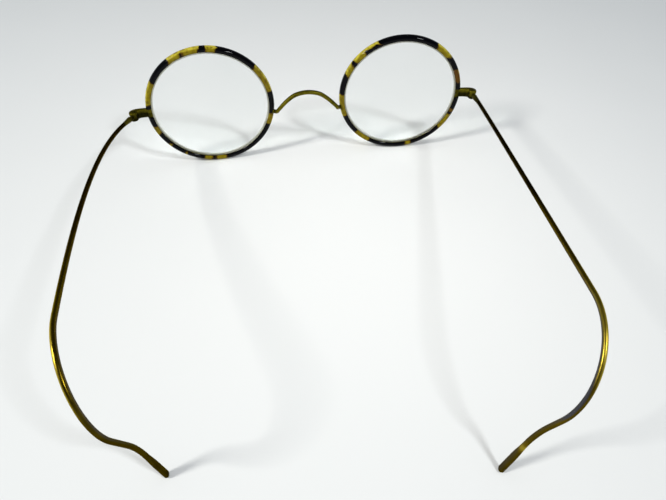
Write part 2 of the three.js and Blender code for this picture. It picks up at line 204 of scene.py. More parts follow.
def mixed(tree, share, first, second):
    colours = [c if isinstance(c, bpy.types.NodeSocket) else (*c, 1) for c in (first, second)]
    return put(tree, "Mix", {0: share, 6: colours[0], 7: colours[1]}, data_type="RGBA").outputs[2]


def ranged(tree, value, low, high, toLow=0.0, toHigh=1.0, soft=False):
    return put(
        tree, "MapRange",
        {"Value": value, "From Min": low, "From Max": high, "To Min": toLow, "To Max": toHigh},
        interpolation_type="SMOOTHSTEP" if soft else "LINEAR",
    ).outputs["Result"]


def sums(tree, operation, first, second):
    return put(tree, "Math", {0: first, 1: second}, operation=operation).outputs[0]


def ramped(tree, value, stops):
    node = put(tree, "ValToRGB", {"Fac": value})
    while len(node.color_ramp.elements) < len(stops):
        node.color_ramp.elements.new(0.5)
    for element, (position, colour) in zip(node.color_ramp.elements, stops):
        element.position = position
        element.color = (*colour, 1)
    return node.outputs["Color"]


def newFinish(name):
    finish = bpy.data.materials.new(name)
    finish.use_nodes = True
    tree = finish.node_tree
    tree.nodes.clear()
    shader = put(tree, "BsdfPrincipled")
    put(tree, "OutputMaterial", {"Surface": shader.outputs["BSDF"]})
    return finish, tree, shader


def makeHandling():  # marks of age: broad dull patches, fine rubbing and small scratches
    group = bpy.data.node_groups.new("handling", "ShaderNodeTree")
    for name, scale in (("Patch Scale", 200.0), ("Rub Scale", 900.0), ("Scratch Scale", 2400.0)):
        socket = group.interface.new_socket(name, in_out="INPUT", socket_type="NodeSocketFloat")
        socket.default_value = scale
    for name in ("Dull", "Rub", "Height"):
        group.interface.new_socket(name, in_out="OUTPUT", socket_type="NodeSocketFloat")
    given = group.nodes.new("NodeGroupInput").outputs
    where = put(group, "TexCoord").outputs["Object"]

    def noise(scale, **settings):
        return put(group, "TexNoise", {"Vector": where, "Scale": given[scale], **settings}).outputs[0]

    patches = noise("Patch Scale", Detail=5, Roughness=0.62)
    rubbing = noise("Rub Scale", Detail=4, Distortion=0.6)
    scratch = noise("Scratch Scale", Detail=3, Roughness=0.7)
    pits = put(group, "TexVoronoi", {"Vector": where, "Scale": given["Rub Scale"], "Randomness": 1})
    pitDepth = ranged(group, pits.outputs["Distance"], 0.06, 0.2)
    result = group.nodes.new("NodeGroupOutput").inputs
    group.links.new(ranged(group, patches, 0.36, 0.68, soft=True), result["Dull"])
    group.links.new(ranged(group, rubbing, 0.3, 0.72), result["Rub"])
    group.links.new(sums(group, "MULTIPLY", scratch, pitDepth), result["Height"])
    return group


handling = makeHandling()


def handled(tree, scales):
    node = tree.nodes.new("ShaderNodeGroup")
    node.node_tree = handling
    for socket, scale in zip(node.inputs, scales):
        socket.default_value = scale
    return node.outputs


def uneven(tree, shader, height, look):
    bump = put(tree, "Bump", {"Height": height, "Strength": look["bump"], "Distance": look["relief"]})
    tree.links.new(bump.outputs["Normal"], shader.inputs["Normal"])


# Finishes: marks are the scales of patches, rubbing and scratches, and relief is the bump's depth in metres
templeLook = {
    "bright": (0.72, 0.56, 0.07), "worn": (0.15, 0.1, 0.006), "tarnish": (0.007, 0.0066, 0.0022),
    "bare": (0.065, 0.065, 0.075), "grazing": (0.5, 0.46, 0.34), "patches": 0.04, "rubbing": 0.012,
    "uneven": 0.03, "satin": 0.2, "marks": (260, 1100, 5200), "bump": 0.04, "relief": 0.00003,
}
frontLook = {
    "bright": (0.5, 0.42, 0.04), "worn": (0.14, 0.118, 0.008), "tarnish": (0.014, 0.013, 0.0018),
    "bare": (0.065, 0.065, 0.075), "grazing": (0.85, 0.8, 0.65), "patches": 0.12, "rubbing": 0.1,
    "uneven": 0.07, "satin": 0.2, "marks": (260, 1100, 5200), "bump": 0.2, "relief": 0.00003,
}
shellLook = {
    "black": (0.0012, 0.0012, 0.002), "edge": (0.03, 0.012, 0.002), "amber": (0.1, 0.062, 0.0015),
    # glow is a painted glow on the outer wall of the light spots
    "straw": (0.23, 0.18, 0.004), "glow": (0.58, 0.5, 0.05), "red": (0.07, 0.018, 0.003),
    "raggedScale": 520, "cloudScale": 900, "fleckScale": 1500, "smooth": 0.02, "rough": 0.06,
    "ior": 1.5, "specular": 0.09, "marks": (300, 800, 4200), "bump": 0.06, "relief": 0.00003,
}
glassLook = {
    "tint": (0.985, 0.995, 0.99), "hazed": (0.965, 0.98, 0.975), "ground": (0.42, 0.42, 0.32),
    "lampTint": (0.9, 0.92, 0.91), "smear": 0.015, "groundRough": 0.55, "ior": 1.52,
    "marks": (60, 260, 2600), "bump": 0.01, "relief": 0.00001,
}


def makeGold(name, look, shine, dullness):  # shine is the share of bare gold; the rest is tarnished
    finish, tree, shader = newFinish(name)
    marks = handled(tree, look["marks"])
    # this attribute carries rubbed gold and painted light: painted highlights on the temples and painted
    # shade on the lugs
    polishAndPaintedLight = put(tree, "Attribute", attribute_name="polishAndPaintedLight").outputs["Fac"]
    patchy = ranged(tree, marks["Dull"], 0, 1, shine + look["patches"], shine - look["patches"])
    streaks = ranged(tree, marks["Rub"], 0, 1, -look["rubbing"], look["rubbing"])
    bare = sums(tree, "ADD", sums(tree, "ADD", patchy, polishAndPaintedLight), streaks)
    colour = ramped(tree, bare, [(0.0, look["tarnish"]), (0.45, look["worn"]), (1.0, look["bright"])])
    skin = put(tree, "Attribute", attribute_name="skin").outputs["Fac"]  # plating worn to the base
    tree.links.new(mixed(tree, skin, colour, look["bare"]), shader.inputs["Base Color"])
    shader.inputs["Metallic"].default_value = 1
    shader.inputs["Specular Tint"].default_value = (*look["grazing"], 1)
    rough = ranged(tree, marks["Rub"], 0, 1, dullness - look["uneven"], dullness + look["uneven"])
    satin = sums(tree, "ADD", rough, ranged(tree, polishAndPaintedLight, 0, 1, 0, look["satin"]))
    tree.links.new(satin, shader.inputs["Roughness"])
    uneven(tree, shader, marks["Height"], look)
    return finish


def makeShell():
    finish, tree, shader = newFinish("tortoiseshell")
    look = shellLook
    where = put(tree, "TexCoord").outputs["Object"]
    spot = put(tree, "Attribute", attribute_name="spot").outputs["Fac"]  # depth inside a light spot, mm
    warm = put(tree, "Attribute", attribute_name="warmth").outputs["Fac"]
    paintedGlowShare = put(tree, "Attribute", attribute_name="paintedGlowShare").outputs["Fac"]  # painted glow: the outer wall is painted lighter, as if light came through it

    def noise(scale, **settings):
        return put(tree, "TexNoise", {"Vector": where, "Scale": look[scale], **settings}).outputs[0]

    ragged = noise("raggedScale", Detail=4, Roughness=0.55)
    cloud = noise("cloudScale", Detail=3)
    fleck = noise("fleckScale", Detail=2)
    depth = sums(tree, "ADD", spot, ranged(tree, ragged, 0.25, 0.75, -0.5, 0.5))
    depth = sums(tree, "ADD", depth, ranged(tree, fleck, 0.3, 0.7, -0.2, 0.2))
    colour = ramped(tree, ranged(tree, depth, -0.4, 0.8), [
        (0.0, look["black"]), (0.22, look["black"]), (0.34, look["edge"]),
        (0.5, look["amber"]), (0.85, look["straw"]),
    ])
    light = ranged(tree, depth, 0.0, 0.4, soft=True)
    # painted light: the light spots are painted brighter towards the outer wall
    paintedGlowing = mixed(tree, sums(tree, "MULTIPLY", light, paintedGlowShare), colour, look["glow"])
    cloudy = sums(tree, "MULTIPLY", light, ranged(tree, cloud, 0.42, 0.7, 0, 0.85))
    patched = mixed(tree, cloudy, paintedGlowing, look["amber"])
    warmed = sums(tree, "MULTIPLY", light, warm)
    reddish = sums(tree, "MULTIPLY", warmed, ranged(tree, paintedGlowShare, 0.35, 1, 1, 0.1))
    tree.links.new(mixed(tree, reddish, patched, look["red"]), shader.inputs["Base Color"])
    marks = handled(tree, look["marks"])
    rough = ranged(tree, marks["Rub"], 0, 1, look["smooth"], look["rough"])
    tree.links.new(rough, shader.inputs["Roughness"])
    shader.inputs["IOR"].default_value = look["ior"]
    shader.inputs["Specular IOR Level"].default_value = look["specular"]
    uneven(tree, shader, marks["Height"], look)
    return finish


def makeGlass():
    finish, tree, shader = newFinish("lensGlass")
    look = glassLook
    marks = handled(tree, look["marks"])
    ground = put(tree, "Attribute", attribute_name="ground").outputs["Fac"]  # the bevel is not polished
    hazed = mixed(tree, marks["Dull"], look["tint"], look["hazed"])
    tree.links.new(mixed(tree, ground, hazed, look["ground"]), shader.inputs["Base Color"])
    smear = ranged(tree, marks["Rub"], 0.2, 1, 0.0, look["smear"])
    matt = sums(tree, "MULTIPLY", ground, look["groundRough"])
    tree.links.new(sums(tree, "MAXIMUM", smear, matt), shader.inputs["Roughness"])
    shader.inputs["Transmission Weight"].default_value = 1
    shader.inputs["IOR"].default_value = look["ior"]
    uneven(tree, shader, marks["Height"], look)
    clear = put(tree, "BsdfTransparent", {"Color": (*look["lampTint"], 1)})  # lamps shine through the lens
    lampRay = put(tree, "LightPath").outputs["Is Shadow Ray"]
    both = put(tree, "MixShader", {0: lampRay, 1: shader.outputs["BSDF"], 2: clear.outputs["BSDF"]})
    tree.links.new(both.outputs[0], tree.nodes["Material Output"].inputs["Surface"])
    return finish


bridgeGold = makeGold("bridgeGold", frontLook, shine=0.34, dullness=0.45)
hingeGold = makeGold("hingeGold", frontLook, shine=0.2, dullness=0.5)
wireGold = makeGold("wireGold", templeLook, shine=0.06, dullness=0.23)
tortoiseshell = makeShell()
lensGlass = makeGlass()
print("finishes made")

# Rim covers: celluloid sleeves round the eyewires, open at the endpieces and notched for the bridge
cover = {
    "radius": 21.04, "width": 1.98, "depth": 2.54, "wall": 0.45, "mouth": 0.75, "lip": 0.09,
    "lipStep": 0.02, "lipDrop": 0.03, "opening": 1.6, "rounding": 0.1, "squareness": 0.9,
    "notchRadius": 20.46, "notchHeight": 1.6, "notchFront": 0.375, "notchReach": 4, "notchBack": 3,
    "notchTurn": 10.08, "paintedGlowFrom": 0.4, "spotFloor": -3, "skinSteps": 30, "aroundSteps": 300,
}
# Light spots round each rim, in degrees from the endpiece over the top:
# middle, half width, warmth, slant towards the outer edge, and how much wider it is there
lightSpots = {
    "right": [
        (19.5, 7.3, 0.85, 0, 0), (49.5, 8.7, 0, -0.5, 1.5), (112, 0.7, 0.3, 4, 0), (122, -4.5, 0.2, 0, 12),
        (134.5, 6.5, 0, 0, 0.5), (151, 6, 0, -1, 0), (188, 12, 0.15, 0, 0), (231, 9, 0.05, 0, 0),
        (283.5, 3.5, 0.05, 0, 0), (328, 9.3, 0.05, 0, 1), (341.5, 1.7, 0.7, 0, 0),
    ],
    "left": [
        (20, 12.2, 0, 0, 0.5), (64.3, 6.9, 0, 1, 0), (72.4, 1.1, 0.9, 1, 0), (80, 7, 0.1, 1.5, 0),
        (97.8, 4.8, 0.05, 0, 0), (153.5, 14.5, 0.2, 0, 0), (197.5, 6.5, 0.2, 0, 0), (268.5, 5.6, 0, 0, 0),
        (281.5, 4.6, 0.1, 0, 0), (304, 1.4, 0.1, 0, 1.5), (321.3, 1.8, 0, 0, 0.8), (341.5, 4.5, 0.1, 0, 1),
    ],
}


def hoop(profile, halfGap, rounding, steps):  # a ring swept from one flat cut to the other
    def row(outline, extra, share):
        spots = []
        for radius, level in outline:
            begin = math.asin((halfGap + extra) / radius)
            a = blend(begin, math.tau - begin, share)
            spots.append((radius * math.cos(a), level, radius * math.sin(a)))
        return spots

    corner = 0.3 * rounding  # halfway round the edge
    ends = [(rounding, 0), (corner, corner), (0, rounding)]
    rows = [row(insetOutline(profile, inset), extra, 0) for inset, extra in ends]
    rows += [row(profile, rounding, i / steps) for i in range(1, steps)]
    rows += [row(insetOutline(profile, inset), extra, 1) for inset, extra in reversed(ends)]
    return skinned(rows)


def coverProfile():
    half = cover["width"] / 2
    middle = cover["radius"] - half
    bed = cover["radius"] - cover["wall"]
    lipShare = 2 * (cover["mouth"] + cover["lip"]) / cover["depth"]
    lipAngle = math.asin(lipShare ** (1 / cover["squareness"]))
    skin = []
    for i in range(cover["skinSteps"] + 1):
        a = (math.pi - lipAngle) * (2 * i / cover["skinSteps"] - 1)
        skin.append((
            middle + half * bulge(math.cos(a), cover["squareness"]),
            cover["depth"] / 2 * bulge(math.sin(a), cover["squareness"]),
        ))
    mouth, lipRadius = cover["mouth"], skin[0][0]
    soft = [(lipRadius + cover["lipStep"], mouth + cover["lipDrop"]), (lipRadius + cover["lip"], mouth)]
    inside = soft + [(bed, mouth), (bed, -mouth)]
    return skin + inside + [(r, -level) for r, level in reversed(soft)]


def markSpots(piece, spots):  # stores how deep each point lies inside a light spot, and the share of painted glow towards the outer wall
    depth = piece.data.attributes.new("spot", "FLOAT", "POINT").data
    warmth = piece.data.attributes.new("warmth", "FLOAT", "POINT").data
    paintedGlowShare = piece.data.attributes.new("paintedGlowShare", "FLOAT", "POINT").data
    half = cover["width"] / 2
    for point in piece.data.vertices:
        angle = math.degrees(math.atan2(point.co.z, point.co.x))
        outer = (math.hypot(point.co.x, point.co.z) - cover["radius"] + half) / half
        inside = []
        for middle, reach, warm, slant, flare in spots:
            away = abs((angle - middle - slant * outer + 180) % 360 - 180)
            inside.append(reach + flare * outer - away)
        best = max(range(len(spots)), key=inside.__getitem__)
        depth[point.index].value = max(cover["spotFloor"], math.radians(inside[best]) * cover["radius"])
        warmth[point.index].value = spots[best][2]
        paintedGlowShare[point.index].value = easeShare(outer, cover["paintedGlowFrom"], 1)


for name, side in sides.items():
    swept = hoop(coverProfile(), cover["opening"], cover["rounding"], cover["aroundSteps"])
    sleeve = roughPiece("cover_" + name, *swept)
    half, edge = cover["notchHeight"] / 2, -cover["notchRadius"]
    farCorner = (edge - cover["notchReach"], -cover["notchBack"], -half)
    notch = block("notch", farCorner, (edge, cover["notchFront"], half))
    notch.data.transform(Matrix.Rotation(-math.radians(cover["notchTurn"]), 4, "Y"))
    carve(sleeve, notch)
    markSpots(sleeve, lightSpots[name])
    settle(sleeve, rimPlace(side), "rim_cover_" + name, tortoiseshell, crease=50)
print("rim covers made")

# Eyewires: grooved rings inside the covers, cut through at the endpiece
eyewire = {
    "outer": 20.5, "inner": 19.3, "depth": 1.3, "groove": 0.6, "floor": 0.25, "mouthHalf": 0.58,
    "edgeStep": 0.05, "edgeDrop": 0.03, "cut": 0.05, "rounding": 0.04, "aroundSteps": 240,
}


def eyewireProfile():
    half, inner = eyewire["depth"] / 2, eyewire["inner"]
    upper = [
        (eyewire["outer"], half), (inner + eyewire["edgeStep"], half), (inner, half - eyewire["edgeDrop"]),
        (inner, eyewire["mouthHalf"]), (inner + eyewire["groove"], eyewire["floor"]),
    ]
    return upper + [(radius, -level) for radius, level in reversed(upper)]


for name, side in sides.items():
    swept = hoop(eyewireProfile(), eyewire["cut"], eyewire["rounding"], eyewire["aroundSteps"])
    ring = roughPiece("eyewire_fine_" + name, *swept)
    settle(ring, rimPlace(side), "eyewire_" + name, hingeGold)
print("eyewires made")

# Lenses: two spherical faces and a bevel that sits in the groove
lens = {
    "radius": 19.8, "bevelStart": 18.8, "edge": 1.4, "bevelFlat": 0.3, "bevelLead": 0.04,
    "frontCurve": 95, "backCurve": 150, "rings": 40, "aroundSteps": 220,
}


def lensProfile():
    def face(curve, level):
        rim = math.sqrt(curve ** 2 - lens["bevelStart"] ** 2)
        spots = []
        for i in range(lens["rings"] + 1):
            r = lens["bevelStart"] * i / lens["rings"]
            spots.append((r, level + math.sqrt(curve ** 2 - r ** 2) - rim))
        return spots

    flat, half = lens["bevelFlat"] / 2, lens["edge"] / 2
    slope = (half - flat) / (lens["radius"] - lens["bevelStart"])
    lead = lens["bevelLead"]  # a narrow rim before the ground bevel
    top = (lens["bevelStart"] + lead, half - lead * slope)
    edge = [(top[0], -top[1]), (lens["radius"], -flat), (lens["radius"], flat), top]
    return face(lens["backCurve"], -half) + edge + face(lens["frontCurve"], half)[::-1]


for name, side in sides.items():
    pane = roughPiece("lens_fine_" + name, *turned(lensProfile(), lens["aroundSteps"], "Y"))
    ground = pane.data.attributes.new("ground", "FLOAT", "POINT").data
    groundFrom = lens["bevelStart"] + lens["bevelLead"] / 2
    for point in pane.data.vertices:
        ground[point.index].value = float(math.hypot(point.co.x, point.co.z) > groundFrom)
    settle(pane, rimPlace(side), "lens_" + name, lensGlass, crease=18)
print("lenses made")

# Bridge: one saddle wire from eyewire to eyewire
bridge = {
    "foot": 20.56, "footDrop": 3.6, "footBack": 0.35, "footLead": 0.55, "footHeight": 1.4, "crest": 4.0,
    "legDrop": 2.2, "setback": 1.6, "legInset": 1.8, "kneeReach": 0.8, "kneeBack": 0.35, "kneeRise": 0.3,
    "crownSpread": 0.4, "crownFall": 0.13, "shoulderSpread": 0.7, "shoulderFall": 0.48,
    "legThickness": 1.25, "crestWidth": 1.6, "crestThickness": 1.35, "squareness": 0.9,
    "steps": 240, "sectionSteps": 28,
}
footAngle = math.asin(bridge["footDrop"] / bridge["foot"])


def smoothPath(points, steps, fineness=40):  # an even walk along a centripetal spline
    padded = [2 * points[0] - points[1], *points, 2 * points[-1] - points[-2]]
    fine = []
    for i in range(1, len(padded) - 2):
        p = padded[i - 1:i + 3]
        knots = [0.0]
        for a, b in zip(p, p[1:]):
            knots.append(knots[-1] + math.sqrt((b - a).length))
        for k in range(fineness):
            t = blend(knots[1], knots[2], k / fineness)
            level = list(p)
            for order in (1, 2, 3):
                merged = []
                for j in range(len(level) - 1):
                    t0, t1 = (knots[1], knots[2]) if order == 3 else (knots[j], knots[j + order])
                    merged.append(level[j].lerp(level[j + 1], (t - t0) / (t1 - t0)))
                level = merged
            fine.append(level[0])
    fine.append(points[-1])
    run = [0.0]
    for a, b in zip(fine, fine[1:]):
        run.append(run[-1] + (b - a).length)
    walk, k = [], 0
    for i in range(steps + 1):
        goal = run[-1] * i / steps
        while k < len(run) - 2 and run[k + 1] < goal:
            k += 1
        walk.append(fine[k].lerp(fine[k + 1], (goal - run[k]) / (run[k + 1] - run[k])))
    return walk


def bridgeRows():
    turn = math.radians(front["faceForm"])
    reach = bridge["foot"] * math.cos(footAngle)
    foot = front["rimSpacing"] / 2 - reach * math.cos(turn)
    footFront = reach * math.sin(turn) - bridge["footBack"]
    outward = Vector((-math.cos(footAngle), 0, -math.sin(footAngle)))
    lead = bridge["footLead"]
    spread = foot - bridge["legInset"]
    arch = bridge["crest"] + bridge["legDrop"]
    back = -bridge["setback"]
    knee = foot - bridge["kneeReach"] * bridge["legInset"]
    kneeHeight = blend(-bridge["footDrop"], -bridge["legDrop"], bridge["kneeRise"])
    shoulderHeight = bridge["crest"] - bridge["shoulderFall"] * arch
    crownHeight = bridge["crest"] - bridge["crownFall"] * arch
    half = [
        (foot, footFront, -bridge["footDrop"]),
        (foot + lead * outward.x, footFront, lead * outward.z - bridge["footDrop"]),
        (knee, bridge["kneeBack"] * back, kneeHeight),
        (spread, back, -bridge["legDrop"]),
        (bridge["shoulderSpread"] * spread, back, shoulderHeight),
        (bridge["crownSpread"] * spread, back, crownHeight),
    ]
    crest = (0, back, bridge["crest"])
    stations = [Vector(p) for p in half + [crest] + [(-x, y, z) for x, y, z in reversed(half)]]
    walk = smoothPath(stations, bridge["steps"])
    rows = []
    for i, spot in enumerate(walk):
        ahead = walk[min(i + 1, len(walk) - 1)] - walk[max(i - 1, 0)]
        tangent = ahead.normalized()
        if i == 0:
            tangent = outward
        elif i == len(walk) - 1:
            tangent = Vector((outward.x, 0, -outward.z))
        rise = easeShare(spot.z, -bridge["legDrop"], bridge["crest"])
        pad = easeShare(abs(spot.x), spread, foot)
        width = blend(bridge["legThickness"], bridge["crestWidth"], rise)
        plainHeight = blend(bridge["legThickness"], bridge["crestThickness"], rise)
        height = blend(plainHeight, bridge["footHeight"], pad)
        across = tangent.cross(Vector((0, 0, 1)))
        rows.append(sectionRing(
            spot, tangent, across, width, height, bridge["squareness"], bridge["sectionSteps"]
        ))
    return rows


saddle = roughPiece("saddle_bridge", *skinned(bridgeRows()))
settle(saddle, standing, "bridge", bridgeGold, crease=60)
print("bridge made")

# Endpieces: two lugs on each side that close the eyewire and carry the hinge
lug = {
    "foot": 20.56, "footLead": 0.2, "frontHalf": 0.7, "shoulder": 1.3, "knuckle": 1.29, "top": 1.5,
    "gap": 0.05, "edge": 0.05, "rounding": 0.4, "slotHalf": 0.57, "roomRadius": 1.42, "heelRoom": 1.72,
    "heelFrom": -26, "heelTo": 108, "seatRadius": 0.87, "seatLevel": 1.1, "seatReach": 2,
    # the next values paint the lugs darker below as painted shade and lighter on top as painted light
    "underShade": -0.3, "shine": 0.2, "underShadeLevel": -0.4, "kneeSteps": 12, "knuckleSteps": 24,
    "crownSteps": 14, "roundSteps": 6, "heelSteps": 30, "roomSteps": 50,
}


def curved(start, control, end, steps):
    spots = []
    for i in range(1, steps + 1):
        t = i / steps
        spots.append(tuple(
            (1 - t) ** 2 * a + 2 * t * (1 - t) * b + t * t * c for a, b, c in zip(start, control, end)
        ))
    return spots


def arcSpots(middle, radius, fromDegrees, toDegrees, steps):
    spots = []
    for i in range(steps + 1):
        a = math.radians(blend(fromDegrees, toDegrees, i / steps))
        spots.append((middle[0] + radius * math.cos(a), middle[1] + radius * math.sin(a)))
    return spots


def lugOutline():
    hx, hy = hinge["reach"], -hinge["setback"]
    foot, back, ahead = lug["foot"], -lug["frontHalf"], lug["frontHalf"]
    inner, outer = hx - lug["knuckle"], hx + lug["knuckle"]
    kneeStart = (foot + lug["shoulder"] / 2, back)
    crown = (foot + 1.5 * lug["shoulder"], ahead)
    outline = [(foot, back), (foot + lug["footLead"], back), kneeStart]
    outline += curved(kneeStart, (inner, back), (inner, hy), lug["kneeSteps"])
    outline += arcSpots((hx, hy), lug["knuckle"], 180, 360, lug["knuckleSteps"])[1:]
    outline += curved(outline[-1], (outer, ahead), crown, lug["crownSteps"])
    middle = (foot + crown[0]) / 2
    return outline + [(middle, ahead), (foot + lug["footLead"], ahead), (foot, ahead)]


def prism(name, outline, low, high):
    return roughPiece(name, *skinned([[(x, y, z) for x, y in outline] for z in (low, high)]))


def tongueRoom(name):
    middle = (hinge["reach"], -hinge["setback"])
    room = arcSpots(middle, lug["heelRoom"], lug["heelFrom"], lug["heelTo"], lug["heelSteps"])
    room += arcSpots(middle, lug["roomRadius"], lug["heelTo"], lug["heelFrom"] + 360, lug["roomSteps"])
    return prism(name, room, -lug["slotHalf"], lug["slotHalf"])


def lugRows(level):
    outline = lugOutline()
    rows = [(insetOutline(outline, lug["edge"]), lug["gap"]), (outline, lug["gap"] + lug["edge"])]
    for i in range(lug["roundSteps"] + 1):
        a = math.radians(90 * i / lug["roundSteps"])
        inset = lug["rounding"] * (1 - math.cos(a))
        rows.append((insetOutline(outline, inset), lug["top"] - lug["rounding"] * (1 - math.sin(a))))
    return [[(x, y, level * z) for x, y in row] for row, z in rows]


for name, side in sides.items():
    for part, level in (("upper", 1), ("lower", -1)):
        half = roughPiece("lug_" + part + "_" + name, *skinned(lugRows(level)))
        carve(half, tongueRoom("room"))
        bore = pin("bore", hinge["screwRadius"] + hinge["play"], hinge["boreReach"])
        bore.data.transform(Matrix.Translation(screwSpot))
        carve(half, bore)
        if level > 0:
            seat = pin("seat", lug["seatRadius"], lug["seatReach"])
            seatMiddle = lug["seatLevel"] + lug["seatReach"]
            seat.data.transform(Matrix.Translation((hinge["reach"], -hinge["setback"], seatMiddle)))
            carve(half, seat)
        polishAndPaintedLight = half.data.attributes.new("polishAndPaintedLight", "FLOAT", "POINT").data  # painted light: lighter towards the top, painted shade on the lower faces
        for point in half.data.vertices:
            height = easeShare(point.co.z, lug["underShadeLevel"], lug["top"])
            polishAndPaintedLight[point.index].value = blend(lug["underShade"], lug["shine"], height)
        settle(half, rimPlace(side), "endpiece_" + part + "_" + name, hingeGold, crease=40)
print("endpieces made")

# Hinge screws: slotted domed heads sunk in the upper lugs
screw = {
    "shankEnd": -1.6, "chamfer": 0.1, "seat": 1.17, "headRadius": 0.8, "headHeight": 0.5, "edge": 0.05,
    "slotWidth": 0.26, "slotDepth": 0.28, "slotReach": 2, "slotRise": 1, "domeSteps": 9, "aroundSteps": 48,
}
screwTop = screw["seat"] + screw["headHeight"]


def screwProfile():
    radius, shank, seat = screw["headRadius"], hinge["screwRadius"], screw["seat"]
    end, chamfer, edge = screw["shankEnd"], screw["chamfer"], screw["edge"]
    profile = [(0, end), (shank - chamfer, end), (shank, end + chamfer)]
    profile += [(shank, seat), (radius - edge, seat), (radius, seat + edge)]
    for i in range(1, screw["domeSteps"]):
        a = math.radians(90 * i / screw["domeSteps"])
        profile.append((radius * math.cos(a), screwTop - screw["headHeight"] / 2 * (1 - math.sin(a))))
    return profile + [(0, screwTop)]


for name, side in sides.items():
    slotted = roughPiece("screw_" + name, *turned(screwProfile(), screw["aroundSteps"], "Z"))
    half, reach = screw["slotWidth"] / 2, screw["slotReach"]
    slotFloor, slotEnd = screwTop - screw["slotDepth"], screwTop + screw["slotRise"]
    carve(slotted, block("slot", (-reach, -half, slotFloor), (reach, half, slotEnd)))
    slotted.data.transform(Matrix.Translation(screwSpot))
    settle(slotted, rimPlace(side), "hinge_screw_" + name, hingeGold)
print("hinge screws made")

# Temples: each was bent by hand to its own ear
temple = {
    "rootLength": 7, "rootOverlap": 0.4, "wireHeight": 1.26, "wireThickness": 1.21, "squareness": 0.9,
    "tipWidth": 1.74, "tipThickness": 0.84, "tipLength": 11, "tipTaper": 5, "tipSquareness": 0.5,
    "shaftSteps": 80, "earSteps": 60, "hookSteps": 12, "flareSteps": 20, "taperSteps": 20,
    "endSteps": 12, "endTurn": 7.4, "sectionSteps": 28,
    "skinSide": 215, "skinFade": (0.75, 1.4), "paintedLightFade": (-0.2, 0.9),
}
bends = {
    "right": {
        "spread": -0.4, "easeLength": 4, "toeIn": 6.6, "earReach": 97.39, "earRise": 10.3,
        "earRadius": 17.5, "earBend": 103.5, "hookLean": 21, "tipRadius": 31, "tipFlare": 16,
    },
    "left": {
        "spread": 17, "easeLength": 23, "toeIn": 0.5, "earReach": 93.4, "earRise": 14.55,
        "earRadius": 15.9, "earBend": 113.5, "hookLean": 13.4, "tipRadius": 23, "tipFlare": 19.6,
    },
}
# Wear along each temple: share of its rows, polish of the gold with painted highlights in it, and wear of
# the side that touches the skin
wearAndGlintStops = {
    "right": [
        (0, 0, 0), (0.2, -0.05, 0), (0.29, 0, 0), (0.35, 0.45, 0.3), (0.41, 1, 0.5), (0.56, 0.95, 0.6),
        (0.61, 0.42, 1), (0.65, 0.34, 0.8), (0.69, 0.36, 0.3), (0.74, 0.32, 0.22), (0.82, 0.26, 0.2),
        # the polish peak at 0.86 is a painted glint on the right tip
        (0.86, 1, 0.25), (0.9, 0.2, 0.25), (1, 0.18, 0.22),
    ],
    "left": [
        (0, -0.02, 0), (0.2, -0.05, 0), (0.28, 0.02, 0), (0.35, 0.55, 0.3), (0.41, 1, 0.5),
        (0.54, 0.9, 0.45), (0.62, 0.36, 0.4), (0.7, 0.14, 0.3), (0.82, 0.18, 0.2), (1, 0.17, 0.18),
    ],
}
innerShadedShare = {"right": 0.55, "left": 0.3}  # share of the polish that the inner side keeps: the outer side is painted lighter as a highlight, the inner side darker as painted shade


def markWearAndPaintedLight(piece, stops, shadedInnerShare):
    points = piece.data.vertices
    polishAndPaintedLight = piece.data.attributes.new("polishAndPaintedLight", "FLOAT", "POINT").data
    skin = piece.data.attributes.new("skin", "FLOAT", "POINT").data
    count = temple["sectionSteps"]
    last = len(points) // count - 1
    skinSide = math.radians(temple["skinSide"])
    for point in points:
        row, spoke = divmod(point.index, count)
        share = row / last
        shine = wear = 0
        for (low, shineLow, wearLow), (high, shineHigh, wearHigh) in zip(stops, stops[1:]):
            if low <= share <= high:
                part = easeShare(share, low, high)
                shine = blend(shineLow, shineHigh, part)
                wear = blend(wearLow, wearHigh, part)
        around = math.tau * spoke / count
        # painted highlight on the outer side of the wire, painted shade on the inner side
        outward = easeShare(math.cos(around), *temple["paintedLightFade"])
        polishAndPaintedLight[point.index].value = shine * blend(shadedInnerShare, 1, outward)
        touching = easeShare(math.cos(around - skinSide) + wear, *temple["skinFade"])
        skin[point.index].value = min(1, 2 * wear) * touching


def leaving(bend):  # the direction in which the root leaves the hinge
    out = math.radians(bend["spread"])
    return Vector((math.sin(out), -math.cos(out), bend["earRise"] / bend["earReach"])).normalized()


def arcWalk(start, ahead, inward, radius, angle, steps):
    walk = []
    for i in range(1, steps + 1):
        a = angle * i / steps
        walk.append((
            start + ahead * (radius * math.sin(a)) + inward * (radius * (1 - math.cos(a))),
            ahead * math.cos(a) + inward * math.sin(a),
        ))
    return walk


